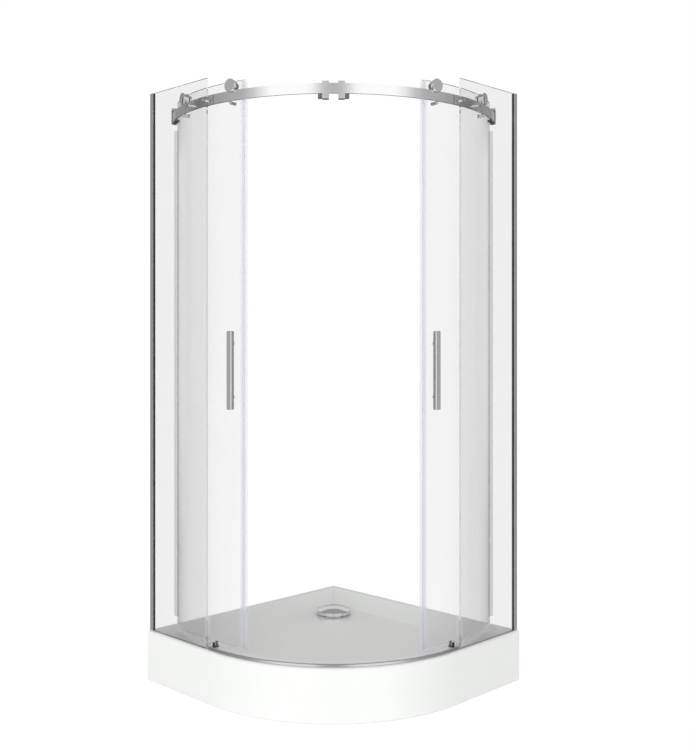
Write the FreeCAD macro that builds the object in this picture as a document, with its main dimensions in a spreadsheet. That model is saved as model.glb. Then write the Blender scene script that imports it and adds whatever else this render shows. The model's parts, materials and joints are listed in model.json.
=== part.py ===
import FreeCAD, Part
import math
import os
import re
import Sketcher

# Quarter-round corner shower enclosure with its tray, in millimetres, +Z up.
# The origin is on the floor under the middle of the square that the tray fills.
# Plan points are given from the room's corner: u runs along the left wall and v along the right
# wall, so the left wall is v = 0 and the right wall is u = 0. Both doors, the rail and the rollers
# turn about one upright axis, the arc centre. An angle on the arc is 0 towards +u and 90 towards +v.

# Driving dimensions
SIZES = {
    # Tray
    "side": 900,
    "tray_height": 170,
    "arc_step": 34,
    "tray_skin": 6,
    "rim_wall": 22,
    "rim_round": 9,
    "apron_round": 4,
    "rim_front": 67,
    "basin_depth": 35,
    "basin_slope": 91,
    "basin_front_run": 25,
    "crease_gain": 27,
    "crease_run": 87.5,
    "basin_round": 12,
    "basin_lip_round": 6,
    # Waste
    "drain_place": 208,
    "drain_hole": 45,
    "drain_bore": 38,
    "drain_flange": 56,
    "drain_flange_thick": 3,
    "drain_neck": 34,
    "drain_thread_gap": 0.4,
    "drain_washer_thick": 3,
    "trap_wall": 4,
    "trap_collar": 60,
    "trap_collar_thick": 6,
    "trap_depth": 75,
    "outlet_radius": 20,
    "outlet_wall": 3,
    "outlet_reach": 138,
    "outlet_spigot": 45,
    "outlet_step": 2,
    "outlet_height": 78,
    "cover_radius": 65,
    "cover_side": 11,
    "cover_rise": 15,
    "cover_round": 3,
    "cover_wall": 2.5,
    "cover_lift_gap": 3,
    "cover_plug_gap": 1,
    "cover_plug": 9,
    "cover_window": 34,
    "cover_window_height": 7,
    # Support frame and feet
    "tube_size": 25,
    "tube_wall": 2,
    "frame_back": 118,
    "frame_front_inset": 340,
    "frame_first": 60,
    "frame_far": 100,
    "cross_near_inset": 500,
    "cross_far_inset": 210,
    "spur_inset": 600,
    "foot_radius": 22,
    "foot_thick": 12,
    "foot_inset": 30,
    "rod_radius": 6,
    "nut_across": 11,
    "nut_thick": 10,
    "nut_gap": 0.1,
    # Fixed glass and wall profiles
    "glass_height": 1840,
    "glass_thick": 6,
    "glass_setback": 18,
    "panel_overlap": 20,
    "panel_start": 5,
    "gasket_thick": 1.5,
    "profile_wall": 1.5,
    "profile_depth": 16,
    "profile_web": 2,
    "profile_hole": 2.6,
    "profile_hole_end": 150,
    "edge_seal_wall": 1.2,
    "edge_seal_grip": 9,
    "edge_seal_fin": 12,
    "edge_seal_clear": 33,
    # Rail and its fastenings
    "rail_outer": 584,
    "rail_clear": 10,
    "rail_thick": 6,
    "rail_height": 32,
    "rail_drop": 84,
    "rail_seat": 6,
    "rail_seat_gap": 0.2,
    "bracket_width": 20,
    "bracket_inner": 19,
    "bracket_depth": 12,
    "bracket_height": 44,
    "bracket_drop": 7,
    "bracket_round": 4,
    "bracket_hole": 2.1,
    "bracket_hole_inset": 7,
    "bracket_hole_end": 5,
    "bracket_hole_step": 18,
    "stop_rod_radius": 4.8,
    "stop_rod_inner": 54,
    "stop_rod_outer": 5,
    "stop_rod_gap": 1.2,
    "stop_rod_lift": 4,
    "rod_neck_reach": 24,
    "rod_neck_height": 6,
    "buffer_radius": 6,
    "buffer_gap": 0.5,
    "buffer_inset": 3,
    "buffer_lift": 2,
    "stop_width": 20,
    "stop_outer": 7,
    "stop_inner": 4.5,
    "stop_above": 5,
    "stop_below": 18,
    "stop_gap": 0.1,
    "stop_buffer": 13,
    "stop_buffer_inset": 2,
    "bolt_radius": 3,
    "bolt_gap": 0.1,
    "bolt_head": 5,
    "bolt_head_thick": 2.5,
    "spacer_radius": 4.6,
    "bolt_second": 91,
    # Doors
    "door_gap": 7,
    "door_lift": 14,
    "door_above": 16,
    "door_lead_angle": 15.3,
    "door_wall": 28.8,
    "meet_angle": 45,
    "meet_gap_angle": 0.1,
    "lead_seal_tip_angle": 0.85,
    "lead_seal_grip_angle": 1.4,
    "trail_seal_tip_angle": 1,
    "seal_wall": 1,
    "seal_gap": 0.1,
    "slot_turn": 0.01,
    "trail_seal_fin": 8,
    "trail_seal_lift": 20,
    "sweep_wall": 1.2,
    "sweep_grip": 9,
    "sweep_drop": 9.5,
    "sweep_inset_angle": 0.16,
    # Rollers
    "front_roller_angle": 11,
    "rear_inset_angle": 12.7,
    "wheel_flange": 19,
    "wheel_groove": 15.7,
    "wheel_width": 15,
    "wheel_side_gap": 0.8,
    "wheel_bevel": 1,
    "wheel_tread_gap": 0.3,
    "axle_radius": 4,
    "axle_gap": 0.05,
    "cap_radius": 21,
    "cap_thick": 3,
    "cap_gap": 0.5,
    "cap_round": 1,
    "bush_gap": 0.1,
    "bush_wall": 2.4,
    "bush_flange": 13,
    "bush_flange_thick": 2,
    "nut_radius": 13,
    "roller_nut_thick": 7,
    "seat_gap": 0.2,
    # Guide pins under the rail
    "pin_radius": 5,
    "pin_reach": 18,
    "pin_drop": 2,
    "pin_shank": 4,
    "pin_hole_gap": 0.6,
    "pin_nut_radius": 6,
    "pin_nut_thick": 3,
    # Handles
    "handle_width": 20,
    "handle_depth": 16,
    "handle_length": 250,
    "handle_above": 899,
    "handle_gap": 8,
    "handle_posts": 170,
    "handle_round": 3,
    "post_radius": 5,
    # Bottom guides and threshold
    "guide_clear": 0.4,
    "guide_width": 9,
    "guide_base": 3,
    "guide_lip": 3.2,
    "guide_inner_height": 19,
    "guide_outer_height": 16,
    "guide_gap": 0.8,
    "guide_foot": 3,
    "guide_block_over": 2,
    "guide_block_depth": 13,
    "guide_block_height": 20,
    "guide_block_round": 2,
    "strip_width": 8,
    "strip_height": 9,
    "strip_inset": 11,
    "strip_round": 2,
}

# Sizes that follow from the driving dimensions
DERIVED = {
    "tray_arc": "rail_outer - arc_step",
    "tray_centre": "side - tray_arc",
    "glass_plane": "side - glass_setback",
    "arc_centre": "glass_plane - rail_clear - rail_outer",
    "panel_end": "arc_centre + panel_overlap",
    "basin_arc": "side - rim_front - arc_centre",
    "floor_run": "arc_centre - rim_wall - basin_slope",
    "basin_crease_round": "basin_round + crease_gain * floor_run / (floor_run + crease_run)",
    "frame_front": "side - frame_front_inset",
    "frame_length": "side - frame_first - frame_far",
    "cross_near": "side - cross_near_inset",
    "cross_far": "side - cross_far_inset",
    "spur_place": "side - spur_inset",
    "spur_length": "side - frame_front - tube_size - frame_far",
    "glass_top": "tray_height + glass_height",
    "rail_bottom": "glass_top - rail_drop",
    "edge_seal_top": "rail_bottom - edge_seal_clear",
    "door_bottom": "tray_height + door_lift",
    "door_top": "wheel_height + door_above",
    "door_trail": "asin((arc_centre - door_wall) / door_outer) / 1 deg",
    "door_travel": "meet_angle - meet_gap_angle - door_lead_angle - lead_seal_tip_angle",
    "rear_roller": "rear_inset_angle - door_trail",
    "trail_seal_bottom": "door_bottom + trail_seal_lift",
    "handle_height": "tray_height + handle_above",
    "basin_floor": "tray_height - basin_depth",
    "flange_top": "basin_floor + drain_flange_thick",
    "cover_low": "flange_top + cover_lift_gap",
    "cover_shoulder": "cover_low + cover_side",
    "cover_top": "cover_shoulder + cover_rise",
    "dome_radius": "(cover_radius ^ 2 + cover_rise ^ 2) / (2 * cover_rise)",
    "tray_under": "basin_floor - tray_skin",
    "rail_inner": "rail_outer - rail_thick",
    "rail_middle": "rail_outer - rail_thick / 2",
    "rail_top": "rail_bottom + rail_height",
    "rail_end": "asin((arc_centre - rail_seat) / rail_outer) / 1 deg",
    "door_outer": "rail_inner - door_gap",
    "door_inner": "door_outer - glass_thick",
    "frame_bottom": "tray_under - tube_size",
    "wheel_height": "rail_top + wheel_groove + wheel_tread_gap",
    "wheel_outside": "rail_middle + wheel_width / 2",
    "cap_inside": "wheel_outside + cap_gap",
    "pin_height": "rail_bottom - pin_drop - pin_radius",
    "bracket_place": "arc_centre + sqrt(rail_middle ^ 2 - (arc_centre - bracket_depth) ^ 2)",
    "bracket_low": "rail_bottom - bracket_drop",
    "bracket_top": "bracket_low + bracket_height",
    "stop_tip": "front_roller_angle + door_travel + turned_by_pin",
    "turned_by_pin": "asin((pin_radius + buffer_gap) / rail_middle) / 1 deg",
    "buffer_turn": "asin(stop_buffer / rail_middle) / 1 deg",
    "stop_turn": "asin(stop_width / rail_middle) / 1 deg",
    "stop_start": "stop_tip + buffer_turn",
    "bolt_level": "rail_bottom + rail_height / 2",
    "sweep_low": "door_bottom - sweep_drop",
    "glass_outside": "glass_plane + glass_thick",
    "handle_foot": "handle_height - handle_length / 2",
    "handle_inside": "door_outer + handle_gap",
    "handle_outside": "handle_inside + handle_depth",
    "rod_low": "rail_top + stop_rod_lift",
    "guide_edge": "panel_end + edge_seal_wall + guide_clear",
    "guide_start": "asin((guide_edge - arc_centre) / door_outer) / 1 deg",
    "guide_turn": "asin(guide_width / door_outer) / 1 deg",
    "guide_inner": "door_inner - sweep_wall - guide_gap",
    "guide_outer": "door_outer + sweep_wall + guide_gap",
    "guide_toe": "arc_centre + guide_inner - guide_lip - guide_foot",
    "guide_block_inside": "glass_outside + guide_block_over - guide_block_depth",
    "strip_start": "guide_edge + guide_width",
    "strip_outer": "tray_arc - strip_inset",
    "strip_inner": "strip_outer - strip_width",
}

ROOM = "placement(vector(-side / 2; side / 2; 0); rotation(vector(0; 0; 1); -90))"

doc = FreeCAD.newDocument("shower_enclosure")
sheet = doc.addObject("Spreadsheet::Sheet", "sizes")
for row, (alias, number) in enumerate(SIZES.items(), start=1):
    sheet.set("A%d" % row, alias)
    sheet.set("B%d" % row, str(number))
    sheet.setAlias("B%d" % row, alias)
doc.recompute()

nodes = []


def formula(text):
    """Write a formula of size names as an expression on the sheet."""

    def swap(match):
        word = match.group(0)
        if word in DERIVED:
            return "(" + formula(DERIVED[word]) + ")"
        return "sizes." + word if word in SIZES else word

    return re.sub(r"[a-z_]+", swap, text)


def bind(thing, **sizes):
    """Tie properties of a document object to formulas of the sheet."""
    for name, text in sizes.items():
        thing.setExpression(name, formula(text))
    return thing


def shift(u, v, z):
    return "placement(vector(%s; %s; %s); rotation(vector(0; 0; 1); 0))" % (u, v, z)


def around(angle, z):
    """A step to the arc centre, turned so that local X points out along the given angle."""
    place = "placement(vector(arc_centre; arc_centre; %s); rotation(vector(0; 0; 1); %s))"
    return place % (z, angle)


def outward(radius):
    """A step out along local X, turned so that local Z points outwards."""
    return "placement(vector(%s; 0; 0); rotation(vector(0; 1; 0); 90))" % radius


def along_u(u, v, z):
    return "placement(vector(%s; %s; %s); rotation(vector(0; 1; 0); 90))" % (u, v, z)


def along_v(u, v, z):
    return "placement(vector(%s; %s; %s); rotation(vector(1; 0; 0); -90))" % (u, v, z)


def put(thing, *steps):
    return bind(thing, Placement=" * ".join((ROOM,) + steps))


def block(name, u, v, z, size_u, size_v, size_z):
    thing = doc.addObject("Part::Box", name)
    bind(thing, Length=size_u, Width=size_v, Height=size_z)
    return put(thing, shift(u, v, z))


def rod(name, radius, length, *steps):
    thing = doc.addObject("Part::Cylinder", name)
    bind(thing, Radius=radius, Height=length)
    return put(thing, *steps)


def ball(name, radius, *steps):
    thing = doc.addObject("Part::Sphere", name)
    bind(thing, Radius=radius)
    return put(thing, *steps)


def sector(name, inner, outer, z, height, start, sweep, centre="arc_centre"):
    """A piece of an upright ring: two radii, a level, a height, a first angle and a sweep."""
    place = "placement(vector(%s; %s; %s); rotation(vector(0; 0; 1); %s))"
    body = doc.addObject("Part::Cylinder", name + "_full")
    bind(body, Radius=outer, Height=height, Angle=sweep)
    put(body, place % (centre, centre, z, start))
    core = doc.addObject("Part::Cylinder", name + "_core")
    bind(core, Radius=inner, Height=height)
    put(core, place % (centre, centre, z, "0"))
    return cut(name, body, core)


def cut(name, base, *tools):
    thing = doc.addObject("Part::Cut", name)
    thing.Base = base
    thing.Tool = tools[0] if len(tools) == 1 else fuse(name + "_tools", *tools)
    return thing


def fuse(name, *shapes):
    thing = doc.addObject("Part::MultiFuse", name)
    thing.Shapes = list(shapes)
    return thing


def common(name, base, tool):
    thing = doc.addObject("Part::Common", name)
    thing.Base = base
    thing.Tool = tool
    return thing


def group(name, *shapes):
    thing = doc.addObject("Part::Compound", name)
    thing.Links = list(shapes)
    return thing


def rounded(name, base, radius, chosen):
    """Round the edges of a finished shape that a test on the edge picks."""
    doc.recompute()
    thing = doc.addObject("Part::Fillet", name)
    thing.Base = base
    size = float(sheet.get(radius))
    edges = [i for i, edge in enumerate(base.Shape.Edges, start=1) if chosen(edge)]
    thing.Edges = [(i, size, size) for i in edges]
    return thing


def keep(thing):
    """Make a document object a node of its own, named as the object is."""
    nodes.append(thing)
    return thing


def pair(thing):
    """Keep a left-hand piece and its right-hand twin, mirrored across the room's diagonal."""
    keep(thing)
    twin = doc.addObject("Part::Mirroring", thing.Name.replace("left_", "right_"))
    twin.Source = thing
    twin.Normal = FreeCAD.Vector(1, 1, 0)
    return keep(twin)


def new_body(name, *steps):
    body = doc.addObject("PartDesign::Body", name)
    put(body, *steps)
    return body


def new_sketch(body, name, plane, level="0"):
    sketch = body.newObject("Sketcher::SketchObject", name)
    support = [item for item in body.Origin.OriginFeatures if item.Role == plane]
    sketch.AttachmentSupport = (support[0], [""])
    sketch.MapMode = "FlatFace"
    bind(sketch, **{"AttachmentOffset.Base.z": level})
    return sketch


def pin_point(sketch, edge, end, across, up):
    """Hold one end of a sketch edge at its distances from the sketch's origin."""
    for kind, text in (("DistanceX", across), ("DistanceY", up)):
        if text is not None:
            sketch.addConstraint(Sketcher.Constraint(kind, -1, 1, edge, end, 1.0))
            name = "size%d" % (sketch.ConstraintCount - 1)
            sketch.renameConstraint(sketch.ConstraintCount - 1, name)
            bind(sketch, **{"Constraints." + name: text})


def join_ends(sketch, edges):
    for i, edge in enumerate(edges):
        after = edges[(i + 1) % len(edges)]
        sketch.addConstraint(Sketcher.Constraint("Coincident", edge, 2, after, 1))


def polygon(sketch, points):
    """A closed outline of straight lines through points given as formulas."""
    first_guess = []
    for i in range(len(points)):
        first_guess.append(FreeCAD.Vector(10 + 7 * i, 5 * i * i, 0))
    edges = []
    for i in range(len(points)):
        line = Part.LineSegment(first_guess[i], first_guess[(i + 1) % len(points)])
        edges.append(sketch.addGeometry(line))
    join_ends(sketch, edges)
    for edge, (across, up) in zip(edges, points):
        pin_point(sketch, edge, 1, across, up)


def quarter_plan(sketch, back, centre, radius):
    """A square with one corner rounded off: the plan of the tray and of its basin."""
    start, middle, reach = 50, 300, 500
    far = middle + reach
    corner = FreeCAD.Vector(start, start, 0)
    right = FreeCAD.Vector(far, start, 0)
    bend = FreeCAD.Vector(far, middle, 0)
    leave = FreeCAD.Vector(middle, far, 0)
    left = FreeCAD.Vector(start, far, 0)
    circle = Part.Circle(FreeCAD.Vector(middle, middle, 0), FreeCAD.Vector(0, 0, 1), reach)
    bottom = sketch.addGeometry(Part.LineSegment(corner, right))
    side = sketch.addGeometry(Part.LineSegment(right, bend))
    arc = sketch.addGeometry(Part.ArcOfCircle(circle, 0, math.pi / 2))
    top = sketch.addGeometry(Part.LineSegment(leave, left))
    close = sketch.addGeometry(Part.LineSegment(left, corner))
    join_ends(sketch, [bottom, side, arc, top, close])
    reach_text = "%s + %s" % (centre, radius)
    pin_point(sketch, bottom, 1, back, back)
    pin_point(sketch, side, 1, reach_text, back)
    pin_point(sketch, arc, 1, None, centre)
    pin_point(sketch, arc, 3, centre, centre)
    pin_point(sketch, arc, 2, centre, None)
    pin_point(sketch, top, 2, back, reach_text)
    sketch.addConstraint(Sketcher.Constraint("Radius", arc, reach))
    name = "size%d" % (sketch.ConstraintCount - 1)
    sketch.renameConstraint(sketch.ConstraintCount - 1, name)
    bind(sketch, **{"Constraints." + name: radius})


def turned(name, points, *steps):
    """A piece turned on a lathe: a profile of (radius, height) points round its own Z axis."""
    body = new_body(name, *steps)
    sketch = new_sketch(body, name + "_profile", "XZ_Plane")
    polygon(sketch, points)
    turn = body.newObject("PartDesign::Revolution", name + "_turn")
    turn.Profile = sketch
    turn.ReferenceAxis = (sketch, ["V_Axis"])
    turn.Angle = 360
    return body


def dress_edges(body, name, radius, chosen):
    """Round the edges of a body that a test on the edge picks."""
    doc.recompute()
    base = body.Tip
    names = ["Edge%d" % i for i, edge in enumerate(base.Shape.Edges, start=1) if chosen(edge)]
    fillet = body.newObject("PartDesign::Fillet", name)
    fillet.Base = (base, names)
    bind(fillet, Radius=radius)
    return fillet


def sits_at(edge, level):
    """True for an edge that lies flat at a level."""
    box = edge.BoundBox
    return abs(box.ZMin - level) < 0.01 and abs(box.ZMax - level) < 0.01


# Tray: one moulded shell with a sloping basin, a rim and a rounded front apron
side = float(sheet.get("side"))
rim_level = float(sheet.get("tray_height"))
floor_level = rim_level - float(sheet.get("basin_depth"))
rim_wall = float(sheet.get("rim_wall"))

tray = new_body("tray_shell")
tray_plan = new_sketch(tray, "tray_plan", "XY_Plane")
quarter_plan(tray_plan, "0", "tray_centre", "tray_arc")
tray_block = tray.newObject("PartDesign::Pad", "tray_block")
tray_block.Profile = tray_plan
bind(tray_block, Length="tray_height")

under_plan = new_sketch(tray, "under_plan", "XY_Plane")
quarter_plan(under_plan, "-tray_skin", "tray_centre", "tray_arc - tray_skin")
under = tray.newObject("PartDesign::Pocket", "under")
under.Profile = under_plan
under.Reversed = True
bind(under, Length="tray_height - tray_skin")


def basin_loft(kind, name, mouth_level, floor_level, spread):
    """A loft from the basin's mouth down to its floor, wider by the spread along the front."""
    mouth = new_sketch(tray, name + "_mouth", "XY_Plane", mouth_level)
    quarter_plan(mouth, "rim_wall", "arc_centre", "basin_arc + " + spread)
    base = new_sketch(tray, name + "_base", "XY_Plane", floor_level)
    quarter_plan(base, "rim_wall + basin_slope", "arc_centre", "basin_arc - basin_front_run + " + spread)
    loft = tray.newObject(kind, name)
    loft.Profile = mouth
    loft.Sections = [base]
    loft.Ruled = True


basin_loft("PartDesign::AdditiveLoft", "basin_skin", "tray_height - tray_skin", "tray_under", "tray_skin / 2")
basin_loft("PartDesign::SubtractiveLoft", "basin", "tray_height", "basin_floor", "0")

drain_plan = new_sketch(tray, "drain_plan", "XY_Plane")
drain_u = float(sheet.get("drain_place"))
drain_r = float(sheet.get("drain_hole"))
ring = Part.Circle(FreeCAD.Vector(drain_u, drain_u, 0), FreeCAD.Vector(0, 0, 1), drain_r)
ring_edge = drain_plan.addGeometry(ring)
pin_point(drain_plan, ring_edge, 3, "drain_place", "drain_place")
drain_plan.addConstraint(Sketcher.Constraint("Radius", ring_edge, drain_r))
drain_plan.renameConstraint(drain_plan.ConstraintCount - 1, "hole")
bind(drain_plan, **{"Constraints.hole": "drain_hole"})
drain_cut = tray.newObject("PartDesign::Pocket", "drain_cut")
drain_cut.Profile = drain_plan
drain_cut.Type = "ThroughAll"
drain_cut.Reversed = True


def on_basin_floor(edge):
    return sits_at(edge, floor_level) and not edge.isClosed()


def on_outer_rim(edge):
    box = edge.BoundBox
    along_wall = box.XMax < 1 or box.YMax < 1
    return sits_at(edge, rim_level) and max(box.XMax, box.YMax) > side - 1 and not along_wall


def on_apron_foot(edge):
    box = edge.BoundBox
    at_wall = box.XMax < 1 or box.YMax < 1
    return sits_at(edge, 0) and max(box.XMax, box.YMax) > side - 1 and not at_wall


def on_basin_lip(edge):
    box = edge.BoundBox
    inside = min(box.XMin, box.YMin) > rim_wall / 2 and max(box.XMax, box.YMax) < side - 1
    return sits_at(edge, rim_level) and inside


def on_basin_crease(edge):
    box = edge.BoundBox
    full_depth = abs(box.ZMin - floor_level) < 0.01 and abs(box.ZMax - rim_level) < 0.01
    return full_depth and min(box.XLength, box.YLength) > 1


dress_edges(tray, "crease_round", "basin_crease_round", on_basin_crease)
dress_edges(tray, "floor_round", "basin_round", on_basin_floor)
dress_edges(tray, "lip_round", "basin_lip_round", on_basin_lip)
dress_edges(tray, "front_round", "rim_round", on_outer_rim)
dress_edges(tray, "foot_round", "apron_round", on_apron_foot)
keep(tray)

# Waste: flange in the basin floor, rubber washer, trap with its outlet
at_drain = shift("drain_place", "drain_place", "0")
neck_outer = "drain_hole - drain_thread_gap"
keep(turned("drain_flange", [
    ("drain_bore", "basin_floor - drain_neck"),
    (neck_outer, "basin_floor - drain_neck"),
    (neck_outer, "basin_floor"),
    ("drain_flange", "basin_floor"),
    ("drain_flange", "basin_floor + drain_flange_thick / 2"),
    ("drain_flange - drain_flange_thick", "flange_top"),
    ("drain_bore", "flange_top"),
], at_drain))

washer_low = "tray_under - drain_washer_thick"
keep(turned("drain_washer", [
    ("drain_hole", washer_low),
    ("drain_flange", washer_low),
    ("drain_flange", "tray_under"),
    ("drain_hole", "tray_under"),
], at_drain))

trap_top = washer_low
trap_low = "%s - trap_depth" % trap_top
cup = turned("trap_cup", [
    ("0", trap_low),
    ("drain_hole", trap_low),
    ("drain_hole + trap_wall", "%s + trap_wall" % trap_low),
    ("drain_hole + trap_wall", "%s - trap_collar_thick" % trap_top),
    ("trap_collar", "%s - trap_collar_thick" % trap_top),
    ("trap_collar", trap_top),
    ("drain_hole", trap_top),
    ("drain_hole", "%s + trap_wall" % trap_low),
    ("0", "%s + trap_wall" % trap_low),
], at_drain)
outlet_start = along_v("drain_place", "drain_place - outlet_reach", "outlet_height")
spigot = rod("outlet_spigot", "outlet_radius", "2 * outlet_spigot", outlet_start)
outlet_pipe = rod("outlet_pipe", "outlet_radius + outlet_step",
                  "outlet_reach - outlet_spigot - drain_hole - trap_wall / 2",
                  along_v("drain_place", "drain_place - outlet_reach + outlet_spigot", "outlet_height"))
outlet_bore = rod("outlet_bore", "outlet_radius - outlet_wall", "outlet_reach", outlet_start)
keep(cut("trap_body", fuse("trap_and_outlet", cup, spigot, outlet_pipe), outlet_bore))

# Waste cover: a shallow domed cap on a hollow stem, with four windows in the stem for the water
dome_centre = shift("drain_place", "drain_place", "cover_top - dome_radius")
at_cover_edge = shift("drain_place", "drain_place", "cover_low")
dome_ball = ball("dome_ball", "dome_radius", dome_centre)
cap_drum = rod("cap_drum", "cover_radius", "cover_side + cover_rise", at_cover_edge)
cap_form = common("cap_form", cap_drum, dome_ball)
shoulder_level = float(sheet.get("tray_height")) - float(sheet.get("basin_depth"))
shoulder_level += sum(float(sheet.get(size)) for size in ("drain_flange_thick", "cover_lift_gap", "cover_side"))


def on_cap_shoulder(edge):
    return sits_at(edge, shoulder_level)


cap = rounded("cap", cap_form, "cover_round", on_cap_shoulder)
hollow_drum = rod("hollow_drum", "cover_radius - cover_wall", "cover_side + cover_rise", at_cover_edge)
hollow_ball = ball("hollow_ball", "dome_radius - cover_wall", dome_centre)
cap_shell = cut("cap_shell", cap, common("cap_hollow", hollow_drum, hollow_ball))
plug = "drain_bore - cover_plug_gap"
stem_tube = turned("cover_stem_tube", [
    (plug + " - cover_wall", "flange_top - cover_plug"),
    (plug, "flange_top - cover_plug"),
    (plug, "flange_top"),
    ("drain_bore + cover_wall", "flange_top"),
    ("drain_bore + cover_wall", "cover_top"),
    (plug + " - cover_wall", "cover_top"),
], at_drain)
cover_stem = common("cover_stem", stem_tube, dome_ball)
window_edge = "drain_place - cover_window / 2"
window_start = "drain_place - cover_radius"
window_along = block("window_along", window_start, window_edge, "flange_top",
                     "2 * cover_radius", "cover_window", "cover_window_height")
window_across = block("window_across", window_edge, window_start, "flange_top",
                      "cover_window", "2 * cover_radius", "cover_window_height")
open_stem = cut("open_stem", cover_stem, window_along, window_across)
keep(fuse("drain_cover", cap_shell, open_stem))


# Support frame: welded square tubes under the basin
def tube(name, u, v, length_u, length_v, hollow_u, hollow_v):
    z = "frame_bottom"
    return (
        block(name, u, v, z, length_u, length_v, "tube_size"),
        block(name + "_bore", u + " + " + hollow_u, v + " + " + hollow_v, z + " + tube_wall",
              length_u + " - 2 * " + hollow_u, length_v + " - 2 * " + hollow_v,
              "tube_size - 2 * tube_wall"),
    )


between = "frame_front - frame_back - tube_size"
frame_tubes = [
    tube("back_tube", "frame_first", "frame_back", "frame_length", "tube_size", "0", "tube_wall"),
    tube("front_tube", "frame_first", "frame_front", "frame_length", "tube_size", "0", "tube_wall"),
    tube("near_cross", "cross_near", "frame_back + tube_size", "tube_size", between, "tube_wall", "0"),
    tube("far_cross", "cross_far", "frame_back + tube_size", "tube_size", between, "tube_wall", "0"),
    tube("spur", "spur_place", "frame_front + tube_size", "tube_size", "spur_length", "tube_wall", "0"),
]
frame_solid = fuse("frame_solid", *[outer for outer, bore in frame_tubes])
keep(cut("support_frame", frame_solid, *[bore for outer, bore in frame_tubes]))

# Levelling feet under the tubes, each on a threaded rod with a lock nut
back_row = "frame_back + tube_size / 2"
front_row = "frame_front + tube_size / 2"
near_end = "frame_first + foot_inset"
far_end = "frame_first + frame_length - foot_inset"
foot_places = [
    (near_end, back_row),
    (far_end, back_row),
    (near_end, front_row),
    (far_end, front_row),
    ("spur_place + tube_size / 2", "frame_front + tube_size + spur_length - foot_inset"),
]
feet = []
lock_nuts = []
for number, (u, v) in enumerate(foot_places):
    pad = doc.addObject("Part::Cone", "pad_%d" % number)
    bind(pad, Radius1="foot_radius", Radius2="foot_radius / 2", Height="foot_thick")
    put(pad, shift(u, v, "0"))
    stem = rod("stem_%d" % number, "rod_radius", "frame_bottom - foot_thick / 2",
               shift(u, v, "foot_thick / 2"))
    feet.append(fuse("foot_%d" % number, pad, stem))
    hexagon = doc.addObject("Part::Prism", "hexagon_%d" % number)
    hexagon.Polygon = 6
    bind(hexagon, Circumradius="nut_across", Height="nut_thick")
    put(hexagon, shift(u, v, "frame_bottom - nut_thick"))
    thread = rod("thread_%d" % number, "rod_radius + nut_gap", "frame_bottom", shift(u, v, "0"))
    lock_nuts.append(cut("lock_nut_%d" % number, hexagon, thread))
keep(group("levelling_feet", *feet))
keep(group("lock_nuts", *lock_nuts))

# Wall profile: a slim channel with three screw holes in its web
profile_inside = "glass_plane - gasket_thick"
profile_first = "glass_plane - gasket_thick - profile_wall"
channel_width = "glass_thick + 2 * gasket_thick"
channel = block("left_channel", profile_first, "0", "tray_height",
                channel_width + " + 2 * profile_wall", "profile_depth", "glass_height")
groove = block("left_groove", profile_inside, "profile_web", "tray_height",
               channel_width, "profile_depth", "glass_height")
hole_levels = [
    "tray_height + profile_hole_end",
    "tray_height + glass_height / 2",
    "tray_height + glass_height - profile_hole_end",
]
profile_holes = []
for number, z in enumerate(hole_levels):
    place = along_v("glass_plane + glass_thick / 2", "-profile_web", z)
    profile_holes.append(rod("left_profile_hole_%d" % number, "profile_hole", "3 * profile_web", place))
pair(cut("left_wall_profile", channel, groove, *profile_holes))

# Gaskets: one strip on each face of the fixed glass
gasket_depth = "profile_depth - panel_start"
inner_gasket = block("left_inner_gasket", profile_inside, "panel_start", "tray_height",
                     "gasket_thick", gasket_depth, "glass_height")
outer_gasket = block("left_outer_gasket", "glass_outside", "panel_start", "tray_height",
                     "gasket_thick", gasket_depth, "glass_height")
pair(group("left_glazing_gaskets", inner_gasket, outer_gasket))

# Fixed panel: flat glass with two holes for the rail's bolts
bolt_rows = ["arc_centre", "arc_centre - bolt_second"]
panel = block("left_panel", "glass_plane", "panel_start", "tray_height",
              "glass_thick", "panel_end - panel_start", "glass_height")
panel_holes = []
for number, v in enumerate(bolt_rows):
    place = along_u("glass_plane - glass_thick", v, "bolt_level")
    panel_holes.append(rod("left_panel_hole_%d" % number, "bolt_radius + bolt_gap", "3 * glass_thick", place))
pair(cut("left_fixed_glass", panel, *panel_holes))

# Edge seal: clips on the front edge of the fixed panel, with a fin towards the door
seal_height = "edge_seal_top - tray_height"
clip = block("left_clip", "glass_plane - edge_seal_wall", "panel_end - edge_seal_grip", "tray_height",
             "glass_thick + 2 * edge_seal_wall", "edge_seal_grip + edge_seal_wall", seal_height)
clip_slot = block("left_clip_slot", "glass_plane", "panel_end - 2 * edge_seal_grip", "tray_height",
                  "glass_thick", "2 * edge_seal_grip", seal_height)
fin = block("left_fin", "glass_plane - edge_seal_wall - edge_seal_fin", "panel_end", "tray_height",
            "edge_seal_fin + edge_seal_wall", "edge_seal_wall", seal_height)
pair(fuse("left_edge_seal", cut("left_clip_channel", clip, clip_slot), fin))

# Rail: one flat bar bent to the arc, from wall to wall
bar = sector("rail_bar", "rail_inner", "rail_outer", "rail_bottom", "rail_height",
             "-rail_end", "90 + 2 * rail_end")
rail_holes = []
drill_reach = "2 * arc_centre + rail_outer / 2"
for number, v in enumerate(bolt_rows):
    drill = "bolt_radius + bolt_gap"
    near_left = along_u("arc_centre", v, "bolt_level")
    near_right = along_v(v, "arc_centre", "bolt_level")
    rail_holes.append(rod("rail_left_hole_%d" % number, drill, drill_reach, near_left))
    rail_holes.append(rod("rail_right_hole_%d" % number, drill, drill_reach, near_right))
keep(cut("rail", bar, *rail_holes))

# End bracket: a block on the wall with a cradle for the rail's end, two screw holes and a stop rod
# that crosses over the rail behind the open door
bracket_u = "bracket_place - bracket_inner"
bracket_block = block("left_bracket_block", bracket_u, "0", "bracket_low",
                      "bracket_width", "bracket_depth", "bracket_height")
bracket_depth = float(sheet.get("bracket_depth"))


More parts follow.
